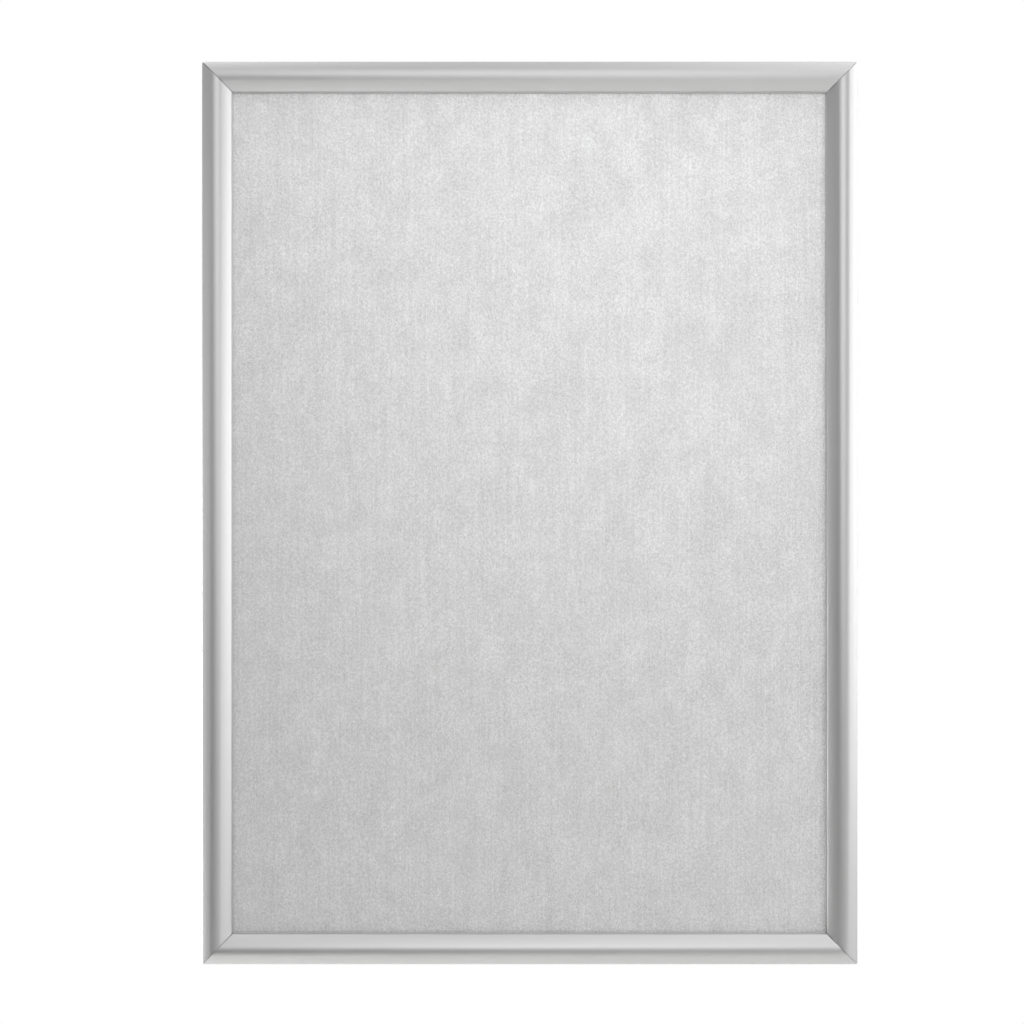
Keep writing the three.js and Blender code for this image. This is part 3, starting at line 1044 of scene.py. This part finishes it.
@dataclass(frozen=True)
class SnapCovers(Rails):
    """The four rounded front rails, which swing open on their outer edge."""

    mitre_gap: float = 0.25

    def section(self) -> Array:
        """Draws the section of a cover.

        Formula: arcs that touch one another. From the tip of the claw the outline follows the rolled
        edge, the flanks with the crest between them and the nose to the lip, with a fine groove
        between the two, comes back under the skin, goes round the outside of the claw to the slotted
        leg and returns through the bore.

        Returns:
            The outline, with inward and forward coordinates.
        """
        hinge = self.hinge
        reach, outer = hinge.flank_radius - hinge.claw_outer, hinge.claw_outer
        inner = hinge.flank_radius - hinge.skin
        out_centre, in_centre = hinge.outer_flank_centre, hinge.inner_flank_centre
        shoulder = bearing(out_centre, hinge.pivot)
        crest_out = bearing(out_centre, hinge.crest_centre)
        crest_in = bearing(in_centre, hinge.crest_centre)
        nose_turn = bearing(in_centre, hinge.nose_centre)
        to_lip = bearing(hinge.nose_centre, hinge.lip_centre)
        near_cosine = (reach**2 + inner**2 - outer**2) / (2 * reach * inner)
        far_cosine = (inner**2 - reach**2 - outer**2) / (2 * reach * outer)
        skin_end = shoulder - math.degrees(math.acos(near_cosine))
        claw_start = shoulder - math.degrees(math.acos(far_cosine))
        leg_root = hinge.claw_foot + math.degrees(math.asin(hinge.leg_wall / outer))
        floor = hinge.leg_wall - hinge.leg_slot_depth
        slot_near = hinge.leg_slot_out - hinge.leg_slot / 2
        slot_far = hinge.leg_slot_out + hinge.leg_slot / 2
        leg = np.array([
            hinge.leg_point(slot_near, hinge.leg_wall),
            hinge.leg_point(slot_near, floor),
            hinge.leg_point(slot_far, floor),
            hinge.leg_point(slot_far, hinge.leg_wall),
            hinge.leg_point(hinge.leg_reach, hinge.leg_wall),
            hinge.leg_point(hinge.leg_reach, 0),
        ])
        outline = join_runs(
            arc(hinge.pivot, outer, hinge.claw_tip, shoulder),
            arc(out_centre, hinge.flank_radius, shoulder, crest_out),
            arc(hinge.crest_centre, hinge.crest_radius, crest_out, crest_in),
            arc(in_centre, hinge.flank_radius, crest_in, nose_turn),
            arc(hinge.nose_centre, hinge.nose_radius, nose_turn, to_lip),
            arc(hinge.lip_centre, hinge.lip_radius, to_lip + 2 * UPRIGHT, -2 * UPRIGHT),
            arc(in_centre, inner, nose_turn, crest_in),
            arc(hinge.crest_centre, hinge.crest_radius - hinge.skin, crest_in, crest_out),
            arc(out_centre, inner, crest_out, skin_end),
            arc(hinge.pivot, outer, claw_start, leg_root),
            leg,
            arc(hinge.pivot, hinge.claw_bore, hinge.claw_foot, hinge.claw_tip),
        )
        return soften(outline, self.soft_edge)

    def cutter(self, place: Place, length: float, end: int) -> bpy.types.Object:
        """Makes the solid that clears the lower claw and the leg from one end of a cover.

        Args:
            place: The axes of the rail.
            length: Outer length of the rail.
            end: The end, as -1 or 1.

        Returns:
            The cutter.
        """
        pivot = self.hinge.pivot
        far = pivot[0] + self.hinge.leg_sweep + OVERRUN
        box = np.array([[pivot[0], -OVERRUN], [far, -OVERRUN], [far, pivot[1]], pivot])
        run = far + self.layers.clearance
        middle = end * (length / 2 + OVERRUN - run / 2)
        height = np.array([middle - run / 2, middle + run / 2])
        return loft("relief", level_rings(box, np.zeros(2), height), place)

    def build(self) -> None:
        """Makes the four covers and sets each on its own body."""
        for side in Side:
            dress(
                self.rail("cover", side),
                [SATIN_ANODISED, SAWN_ALUMINIUM],
                f"{side.word}_cover",
                f"snap_cover_{side.word}",
            )


@dataclass(frozen=True)
class BaseRails(Rails):
    """The four rails on the wall, which carry the hinge beads, keys, springs and sheets."""

    mitre_gap: float = 0.06  # the keys pull the base rails up tight, so only a hairline shows
    set_in: float = 0.3  # how far the base stands back from the rolled edge of the cover
    ledge_end: float = 22.0
    neck_wall: float = 1.0
    foot_height: float = 3.0
    rib_wall: float = 1.0
    hook_wall: float = 0.8
    hook_overhang: float = 0.7
    lower_lip: float = 0.8
    upper_lip: float = 0.5
    hole_radius: float = 1.75
    hole_from_corner: float = 75.0
    hole_sides: int = 48

    @property
    def hook_outer(self) -> float:
        """Outer face of the hook, clear of the sweep of the cover's leg."""
        return self.hinge.pivot[0] + self.hinge.leg_sweep + self.layers.clearance

    @property
    def hook_inner(self) -> float:
        """Inner face of the hook, where the channel of the keys begins."""
        return self.hook_outer + self.hook_wall

    @property
    def rib_inner(self) -> float:
        """Face of the inner rib that the panel lies against."""
        return self.layers.poster_inset - self.layers.clearance

    @property
    def rib_outer(self) -> float:
        """Face of the inner rib where the channel of the keys ends."""
        return self.rib_inner - self.rib_wall

    @property
    def channel_middle(self) -> float:
        """Middle of the channel, where the wall screws go."""
        return (self.hook_inner + self.rib_outer) / 2

    def section(self) -> Array:
        """Draws the section of a base rail.

        Formula: straight walls with softened corners, and most of a circle for the hinge bead. The
        outline runs along the wall to the ledge, back over the inner rib with its two lips, the
        channel and the hook, up round the bead and down the foot.

        Returns:
            The outline, with inward and forward coordinates.
        """
        layers, pivot = self.layers, self.hinge.pivot
        rib, hook = self.rib_outer, self.hook_inner
        neck = math.degrees(math.asin(self.neck_wall / 2 / self.hinge.bead_radius))
        wall = np.array([
            [self.set_in, 0],
            [self.ledge_end, 0],
            [self.ledge_end, layers.web],
            [self.rib_inner, layers.web],
            [self.rib_inner, layers.rib_top],
            [rib - self.upper_lip, layers.rib_top],
            [rib - self.upper_lip, layers.seat_top],
            [rib, layers.seat_top],
            [rib, layers.hook_top],
            [rib - self.lower_lip, layers.hook_top],
            [rib - self.lower_lip, layers.hook_under],
            [rib, layers.hook_under],
            [rib, layers.web],
            [hook, layers.web],
            [hook, layers.hook_under],
            [hook + self.hook_overhang, layers.hook_under],
            [hook + self.hook_overhang, layers.hook_top],
            [self.hook_outer, layers.hook_top],
            [self.hook_outer, layers.web],
            [pivot[0] + self.neck_wall / 2, layers.web],
        ])
        bead = arc(pivot, self.hinge.bead_radius, neck - UPRIGHT, FULL_TURN - UPRIGHT - neck)
        foot = np.array([
            [pivot[0] - self.neck_wall / 2, self.foot_height],
            [self.set_in, self.foot_height],
        ])
        return soften(join_runs(wall, bead, foot), self.soft_edge)

    def cutter(self, place: Place, length: float, end: int) -> bpy.types.Object:
        """Makes the drill for a wall screw: a hole through the web and room for the screw's head.

        Formula: a stack of circles about a forward axis, narrow through the web with a small
        chamfer, and as wide as the channel above it.

        Args:
            place: The axes of the rail.
            length: Outer length of the rail.
            end: The end, as -1 or 1.

        Returns:
            The cutter.
        """
        web, head = self.layers.web, (self.rib_outer - self.hook_inner) / 2
        hole, burr = self.hole_radius, self.soft_edge
        radius = np.array([hole, hole, hole + burr, head, head])
        height = np.array([-OVERRUN, web - burr, web, web, self.layers.hook_top + OVERRUN])
        flat = polar(np.zeros(2), radius[:, None], full_circle(self.hole_sides))
        along = end * (length / 2 - self.hole_from_corner)
        middle = place.origin + self.channel_middle * place.first + along * place.third
        return loft("drill", lift_rings(flat, height[:, None]), Place(middle, place.third, place.first))

    def build(self) -> None:
        """Makes the four base rails and sets them on the body of the frame."""
        for side in Side:
            dress(
                self.rail("rail", side),
                [MILL_FINISH, SAWN_ALUMINIUM],
                "frame",
                f"base_rail_{side.word}",
            )


@dataclass(frozen=True)
class LeafSprings:
    """The bowed strips between the base rails and the legs of the covers."""

    layers: Layers
    hinge: Hinge
    base: BaseRails
    thickness: float = 0.4
    width: float = 20.0
    bow: float = 2.4
    end_radius: float = 1.2  # rounded corners of the strip
    short_count: int = 2
    short_pitch: float = 220.0
    long_count: int = 3
    long_pitch: float = 190.0
    stations: int = 49
    edge_steps: int = 6
    bend_start_share: float = 0.45  # where along the strip it would start to follow the cover; not used to bend it

    def ends(self) -> tuple[Array, Array]:
        """Finds the middles of the strip's two ends at rest: in the leg's slot and on the inner rib.

        Returns:
            The two points, with inward and forward coordinates.
        """
        clear = self.layers.clearance + self.thickness / 2
        floor = self.hinge.leg_wall - self.hinge.leg_slot_depth + self.layers.clearance
        at_leg = self.hinge.leg_point(self.hinge.leg_slot_out, floor)
        return at_leg, np.array([self.base.rib_outer - clear, self.layers.hook_top + clear])

    def rings(self, along: float) -> Array:
        """Bends a flat strip into a shallow bow.

        Formula: the middle line is an arc from the leg to the rib, bowed forward. At each station of
        it the section is a flat oblong with round sides, across the rail by the strip's width, which
        narrows by a quarter round at both ends, and thick by its thickness along the arc's radius.

        Args:
            along: Middle of the spring along the rail.

        Returns:
            Points as stations by places round the section by inward, forward and along.
        """
        start, end = self.ends()
        half = np.linalg.norm(end - start) / 2
        radius = (half**2 + self.bow**2) / (2 * self.bow)
        facing = bearing(start, end) + UPRIGHT
        centre = polar((start + end) / 2, self.bow - radius, facing)
        spread = math.degrees(math.asin(half / radius))
        turn = np.linspace(facing + spread, facing - spread, self.stations)
        run = np.radians(facing + spread - turn) * radius
        short = self.end_radius - np.clip(np.minimum(run, run[-1] - run), 0, self.end_radius)
        inset = self.end_radius - np.sqrt(self.end_radius**2 - short**2)

        half_turn = np.linspace(-UPRIGHT, UPRIGHT, self.edge_steps + 1)
        edge = polar(np.zeros(2), self.thickness / 2, half_turn)
        out, lift = np.concatenate([edge, -edge]).T
        side = np.repeat([1.0, -1.0], len(edge))
        half_width = self.width / 2 - self.thickness / 2 - inset
        across = along + side * half_width[:, None] + out
        return lift_rings(polar(centre, radius + lift, turn[:, None]), across)

    def build(self) -> None:
        """Makes the springs of each rail in their bow at rest, and leaves them on no body. The point
        where a spring starts to follow its cover is worked out but not used.

        The rings of a strip run clockwise where loft() takes them anticlockwise, so its faces are
        turned round.
        """
        start, end = self.ends()
        bend_from = end + (start - end) * self.bend_start_share
        for side in Side:
            place = self.layers.rail_place(side)
            still, moved = (place.metres(np.array([*point, 0.0])) for point in (bend_from, start))
            short, long = (self.short_count, self.short_pitch), (self.long_count, self.long_pitch)
            count, pitch = long if side.is_upright else short
            for number, along in enumerate((np.arange(count) - (count - 1) / 2) * pitch, 1):
                leaf = loft(f"spring_{side.word}_{number}", self.rings(along), place)
                leaf.data.flip_normals()
                dress(leaf, [SPRING_STRIP], None, f"leaf_spring_{side.word}_{number}")
                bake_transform(leaf)


@dataclass(frozen=True)
class CornerJoints:
    """The L-shaped keys in the channels of the base rails, each with two grub screws."""

    layers: Layers
    base: BaseRails
    leg: float = 50.0  # outer edge of the frame to the end of a leg
    chamfer: float = 1.0
    key_edge: float = 0.15
    screw_radius: float = 1.5
    screw_length: float = 2.6
    screw_from_edge: float = 34.0
    socket_flats: int = 6
    socket_across_flats: float = 1.5
    socket_depth: float = 1.2
    socket_bevel: float = 0.12
    pit_share: float = 0.08  # the drill's pit under the socket ends this narrow
    pit_depth: float = 0.15
    point_share: float = 0.6  # how much of the point the dish in it takes
    point_dish: float = 0.18
    thread_pitch: float = 0.5
    thread_depth: float = 0.27
    screw_sides: int = 48
    rings_per_pitch: int = 10

    @property
    def outer(self) -> float:
        """Outer edge of the key in the channel."""
        return self.base.hook_inner + self.layers.clearance

    @property
    def inner(self) -> float:
        """Inner edge of the key in the channel."""
        return self.base.rib_outer - self.layers.clearance

    def screw_places(self) -> Array:
        """The middles of the two screws, in the corner's own axes."""
        across = (self.outer + self.inner) / 2
        return np.array([[self.screw_from_edge, across], [across, self.screw_from_edge]])

    def key_outline(self) -> Array:
        """Draws the L of a key, with chamfered corners.

        Returns:
            The outline, in the corner's own axes.
        """
        outer, inner, leg, cut = self.outer, self.inner, self.leg, self.chamfer
        return np.array([
            [outer + cut, outer],
            [leg - cut, outer],
            [leg, outer + cut],
            [leg, inner - cut],
            [leg - cut, inner],
            [inner, inner],
            [inner, leg - cut],
            [inner - cut, leg],
            [outer + cut, leg],
            [outer, leg - cut],
            [outer, outer + cut],
        ])

    def key(self, corner: Corner, place: Place) -> bpy.types.Object:
        """Makes one punched key with its two screw holes.

        Formula: its outline carried forward by the thickness of the key, with a small round on both
        edges. The holes are stacks of circles that widen to a chamfer at both faces.

        Args:
            corner: The corner.
            place: The axes of the corner.

        Returns:
            The key.
        """
        depth, end, short = round_the_ends(self.key_edge)
        back, half, chamfer = self.layers.on_web, self.layers.key / 2, 2 * self.key_edge
        height = back + half + end * (half - short)
        outline = soften(self.key_outline(), chamfer)
        key = loft(f"key_{corner.word}", level_rings(outline, depth, height), place)
        bore, front = self.screw_radius + self.layers.clearance, back + self.layers.key
        widen = np.array([chamfer + OVERRUN, 0, 0, chamfer + OVERRUN])
        level = np.array([back - OVERRUN, back + chamfer, front - chamfer, front + OVERRUN])
        circles = (polar(middle, bore, full_circle(self.screw_sides)) for middle in self.screw_places())
        carve(key, [loft("punch", level_rings(circle, -widen, level), place) for circle in circles])
        return key

    def screw_rings(self, middle: Array) -> Array:
        """Works out the surface of a threaded grub screw with a hexagon socket.

        Formula: the outside is a stack of circles whose radius drops by the thread's depth times a
        triangle wave of the height over the pitch minus the share of a turn, fading out at both
        ends. The socket's radius is half the width across flats over the cosine of the angle to the
        nearest flat, and it ends in a shallow cone.

        Args:
            middle: The screw's axis, in the corner's own axes.

        Returns:
            Points as stations by places round the screw by three.
        """
        turn = full_circle(self.screw_sides)
        flat_turn = np.radians(FULL_TURN / self.socket_flats)
        to_flat = np.mod(np.radians(turn), flat_turn) - flat_turn / 2
        hexagon = self.socket_across_flats / 2 / np.cos(to_flat)
        chamfer = self.thread_depth
        count = int(self.screw_length / self.thread_pitch * self.rings_per_pitch)
        rise = np.linspace(chamfer, self.screw_length - chamfer, count)
        phase = np.mod(rise[:, None] / self.thread_pitch - turn / FULL_TURN, 1)
        fade = np.clip(np.minimum(rise - chamfer, rise[-1] - rise) / chamfer, 0, 1)
        thread = self.screw_radius - self.thread_depth * np.abs(2 * phase - 1) * fade[:, None]

        core = np.full(self.screw_sides, self.screw_radius - self.thread_depth)
        top, floor = self.screw_length, self.screw_length - self.socket_depth
        point = [self.point_share * core, core]
        socket = [core, hexagon + self.socket_bevel, hexagon, hexagon, hexagon * self.pit_share]
        down = [top, top, top - self.socket_bevel, floor, floor - self.pit_depth]
        height = self.layers.on_web + np.concatenate([[self.point_dish, 0], rise, down])
        flat = polar(middle, np.concatenate([point, thread, socket]), turn)
        return lift_rings(flat, height[:, None])

    def build(self) -> None:
        """Makes each corner's key and screws and sets them on the body of the frame."""
        for corner in Corner:
            word, place = corner.word, self.layers.corner_place(corner)
            key = self.key(corner, place)
            dress(key, [BRIGHT_ZINC] * 2, "frame", f"corner_key_{word}")
            for number, middle in enumerate(self.screw_places(), 1):
                screw = loft(f"grub_screw_{word}_{number}", self.screw_rings(middle), place)
                dress(screw, [BLACK_OXIDE] * 2, "frame", f"key_screw_{word}_{number}")


@dataclass(frozen=True)
class PosterSheets:
    """The steel panel behind the poster and the clear sheet in front of it."""

    layers: Layers
    panel_corner: float = 1.5
    sheet_corner: float = 3.0
    sheet_trim: float = 0.5  # the clear sheet is this much smaller than the panel, each way
    panel_edge: float = 0.12
    sheet_edge: float = 0.08

    def sheet(
        self,
        name: str,
        size: tuple[float, float],
        corner: float,
        back: float,
        thickness: float,
        edge: float,
    ) -> bpy.types.Object:
        """Makes a flat sheet with rounded corners and broken edges.

        Formula: four quarter circles joined by straight sides, carried forward by the thickness.

        Args:
            name: Name of the object.
            size: Width and height.
            corner: Radius of the corners.
            back: Height of its back over the wall.
            thickness: Its thickness.
            edge: Radius of the round on its edges.

        Returns:
            The sheet.
        """
        right, top = size[0] / 2 - corner, size[1] / 2 - corner
        middles = np.array([[right, top], [-right, top], [-right, -top], [right, -top]])
        turns = np.arange(len(middles)) * UPRIGHT
        rounds = (arc(middle, corner, turn, turn + UPRIGHT) for middle, turn in zip(middles, turns))
        depth, end, short = round_the_ends(edge)
        height = back + thickness / 2 + end * (thickness / 2 - short)
        place = Place(np.zeros(3), np.array([1.0, 0, 0]), np.array([0, 0, 1.0]))
        return loft(name, level_rings(join_runs(*rounds), depth, height), place)

    def build(self) -> None:
        """Makes both sheets and sets them on the body of the frame."""
        at = self.layers
        size = (at.poster_width, at.poster_height)
        trimmed = (size[0] - self.sheet_trim, size[1] - self.sheet_trim)
        panel = self.sheet("panel", size, self.panel_corner, at.on_web, at.panel, self.panel_edge)
        front = self.sheet(
            "front_sheet", trimmed, self.sheet_corner, at.sheet_back, at.sheet, self.sheet_edge
        )
        dress(panel, [GalvanisedSheet()] * 2, "frame", "back_panel")
        dress(front, [AntiGlarePlastic()] * 2, "frame", "clear_sheet")


@dataclass(frozen=True)
class Softbox:
    """A soft, square studio light that faces the middle of the frame.

    It is made of squares of the same brightness, one inside the other, so its glow fades outwards
    and leaves no edge in the satin metal.
    """

    name: str
    azimuth: float  # degrees to the viewer's right of straight in front
    elevation: float
    watts: float
    distance: float = 1700.0
    squares: tuple[float, ...] = (0.25, 0.45, 0.65)  # their sides, as shares of the distance

    def place(self) -> None:
        """Adds the squares to the scene, with watts in proportion to their areas."""
        turn, rise = math.radians(self.azimuth), math.radians(self.elevation)
        level = math.cos(rise)
        back = Vector((math.sin(turn) * level, -math.cos(turn) * level, math.sin(rise)))
        area = sum(side**2 for side in self.squares)
        for side in self.squares:
            lamp = bpy.data.lights.new(self.name, "AREA")
            lamp.shape = "SQUARE"
            lamp.size = side * self.distance * MILLIMETRE
            lamp.energy = self.watts * side**2 / area
            light = bpy.data.objects.new(self.name, lamp)
            light.visible_camera = False
            light.location = back * self.distance * MILLIMETRE
            light.rotation_euler = (-back).to_track_quat("-Z", "Y").to_euler()
            bpy.context.scene.collection.objects.link(light)


@dataclass(frozen=True)
class NearSoftbox(Softbox):
    """A softbox that stands nearer, so that its light falls off across the frame."""

    distance: float = 900.0


@dataclass(frozen=True)
class Studio:
    """A white studio, seen square on from a little to the left through a shift lens.

    Satin metal shows what it faces, so each flank of a cover has lights of its own: those in front
    light the panel and the crests, those to the sides light the flanks that lean their way, and
    the near ones make one end of a rail brighter than the other. The lights behind the frame reach
    only its back and the floor.
    """

    distance: float = 2600.0
    stand: tuple[float, float] = (-105.0, 0.8)  # the lens, right and up from the frame's middle
    view_width: float = 831.0  # what the picture spans at the outer edge of the rails
    aim: tuple[float, float] = (-14.0, 0.8)  # the picture's middle, right and up from the frame's
    far_clip: float = 100000.0
    floor_drop: float = 1000.0  # a floor well below a frame that hangs on a wall
    floor_size: float = 6600.0
    surround: str = "FFFFFF"
    surround_strength: float = 0.05
    softboxes: tuple[Softbox, ...] = (
        NearSoftbox("front", 10.0, 10.0, 1.25),
        Softbox("front_left", -12.0, 8.0, 2.2),
        Softbox("front_right", 20.0, -12.0, 2.3),
        Softbox("front_above", 4.0, 30.0, 8.5),
        Softbox("overhead", 0.0, 80.0, 3.5),
        Softbox("below", 0.0, -50.0, 10.5),
        NearSoftbox("left", -60.0, 10.0, 0.85),
        Softbox("left_above", -65.0, 55.0, 16.5),
        Softbox("left_edge", -100.0, -20.0, 78.0),
        Softbox("right", 52.0, 8.0, 3.7),
        Softbox("right_above", 52.0, 55.0, 8.3),
        Softbox("right_top", 25.0, 60.0, 0.5),
        Softbox("right_below", 52.0, -15.0, 4.3),
        Softbox("right_side", 70.0, 8.0, 13.8),
        NearSoftbox("right_edge", 80.0, 45.0, 1.1),
        Softbox("back_left", -165.0, 35.0, 18.0),
        Softbox("back_right", 165.0, 35.0, 18.0),
    )

    def add_camera(self) -> None:
        """Sets up a lens square to the wall, shifted so that the picture's middle is where it aims."""
        lens = bpy.data.cameras.new("camera")
        lens.lens = lens.sensor_width * self.distance / self.view_width
        lens.shift_x = (self.aim[0] - self.stand[0]) / self.view_width
        lens.shift_y = (self.aim[1] - self.stand[1]) / self.view_width
        lens.clip_end = self.far_clip * MILLIMETRE
        camera = bpy.data.objects.new("camera", lens)
        camera.location = Vector((self.stand[0], -self.distance, self.stand[1])) * MILLIMETRE
        camera.rotation_euler = Vector((0.0, 1.0, 0.0)).to_track_quat("-Z", "Y").to_euler()
        bpy.context.scene.collection.objects.link(camera)
        bpy.context.scene.camera = camera

    def add_floor(self) -> None:
        """Lays a pale, flat floor under the frame."""
        half = self.floor_size / 2 * MILLIMETRE
        drop = -self.floor_drop * MILLIMETRE
        corners = [(-half, -half, drop), (half, -half, drop), (half, half, drop), (-half, half, drop)]
        mesh = bpy.data.meshes.new("floor")
        mesh.from_pydata(corners, [], [(0, 1, 2, 3)])
        mesh.materials.append(StudioPaper().material())
        new_piece("floor", mesh)

    def add_surround(self) -> None:
        """Makes the world plain white behind the frame and a soft grey light round it."""
        world = bpy.data.worlds.new("surround")
        world.use_nodes = True
        tree = world.node_tree
        tree.nodes.clear()
        white = srgb(self.surround)
        backdrop = add_node(tree, "Background", {"Color": white, "Strength": 1.0})
        light = add_node(tree, "Background", {"Color": white, "Strength": self.surround_strength})
        rays = add_node(tree, "LightPath")
        mix = add_node(
            tree,
            "MixShader",
            {0: rays.outputs["Is Camera Ray"], 1: light.outputs[0], 2: backdrop.outputs[0]},
        )
        add_node(tree, "OutputWorld", {"Surface": mix.outputs[0]})
        bpy.context.scene.world = world

    def build(self) -> None:
        """Sets up the camera, the floor, the surround and the lights."""
        self.add_camera()
        self.add_floor()
        self.add_surround()
        for softbox in self.softboxes:
            softbox.place()
        bpy.context.scene.view_settings.view_transform = "Standard"
        log.info("studio: camera, floor, surround and %d lights", len(self.softboxes))


def main() -> None:
    """Builds the frame's sub-assemblies and the studio, and logs each piece."""
    logging.basicConfig(level=logging.INFO, format="%(name)s: %(message)s")
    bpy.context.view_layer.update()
    layers = Layers()
    hinge = Hinge(layers)
    base = BaseRails(layers, hinge)
    Studio().build()
    base.build()
    PosterSheets(layers).build()
    CornerJoints(layers, base).build()
    LeafSprings(layers, hinge, base).build()
    SnapCovers(layers, hinge).build()


if __name__ == "__main__":
    main()
